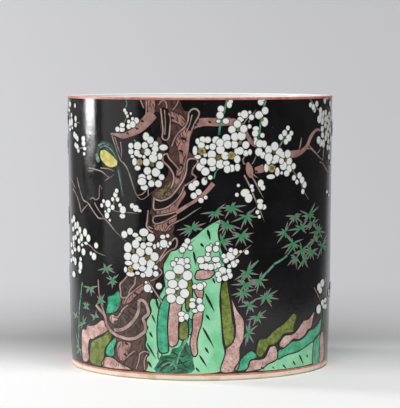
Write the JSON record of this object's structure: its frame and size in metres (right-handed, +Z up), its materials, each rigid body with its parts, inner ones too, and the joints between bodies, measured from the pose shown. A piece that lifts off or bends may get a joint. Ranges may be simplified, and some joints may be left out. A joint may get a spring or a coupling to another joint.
{
  "type": "cylindrical vase",
  "caption": "Straight-sided cylindrical brush vase, black enamel ground with raised prunus, bamboo and rock enamels, white glazed inside, ringed foot.",
  "frame": {"origin": "middle of the foot, on the surface that the vase stands on", "axes": "+Z up along the vase's axis; the front of the picture, with the bird and the trunk, faces -Y"},
  "size_m": [0.18, 0.1804, 0.183],
  "materials": {
    "white_glaze": "clear glaze over white porcelain, glossy",
    "biscuit": "unglazed fired porcelain, matt",
    "black_enamel": "glossy black overglaze enamel",
    "iron_red": "thin painted iron-red line, satin",
    "aubergine": "glossy translucent enamel",
    "bark_pink": "glossy translucent enamel",
    "pale_green": "glossy translucent enamel",
    "emerald_green": "glossy translucent enamel",
    "moss_green": "glossy translucent enamel",
    "rose_aubergine": "glossy translucent enamel",
    "blossom_white": "glossy white enamel",
    "bird_yellow": "glossy translucent enamel"
  },
  "bodies": {
    "root": {"base_slab": "biscuit", "bird_breast": "bird_yellow", "black_ground": "black_enamel", "blossoms_back_left": "blossom_white", "blossoms_back_middle": "blossom_white", "blossoms_back_right": "blossom_white", "blossoms_left_edge": "blossom_white", "blossoms_right_edge": "blossom_white", "blossoms_rock_front": "blossom_white", "blossoms_trunk_left": "blossom_white", "blossoms_upper_left": "blossom_white", "blossoms_upper_middle": "blossom_white", "blossoms_upper_right": "blossom_white", "bough_back": "bark_pink", "bough_back_right": "bark_pink", "bough_far_right": "bark_pink", "bough_left": "bark_pink", "bough_low": "bark_pink", "bough_right": "bark_pink", "floor_glaze": "white_glaze", "foot_line": "iron_red", "foot_ring": "biscuit", "lining_glaze": "white_glaze", "lip_glaze": "white_glaze", "mouth_line": "iron_red", "recess_glaze": "white_glaze", "rock_back_emerald": "emerald_green", "rock_back_moss": "moss_green", "rock_back_pale": "pale_green", "rock_back_rose": "rose_aubergine", "rock_inner_rose": "rose_aubergine", "rock_left_moss": "moss_green", "rock_left_rose": "rose_aubergine", "rock_right_emerald": "emerald_green", "rock_right_moss": "moss_green", "rock_right_pale": "pale_green", "rock_right_rose": "rose_aubergine", "rock_tall_emerald": "emerald_green", "rock_tall_moss": "moss_green", "rock_tall_pale": "pale_green", "rock_tall_rose": "rose_aubergine", "trunk": "aubergine", "wall": "white_glaze"}
  },
  "joints": []
}
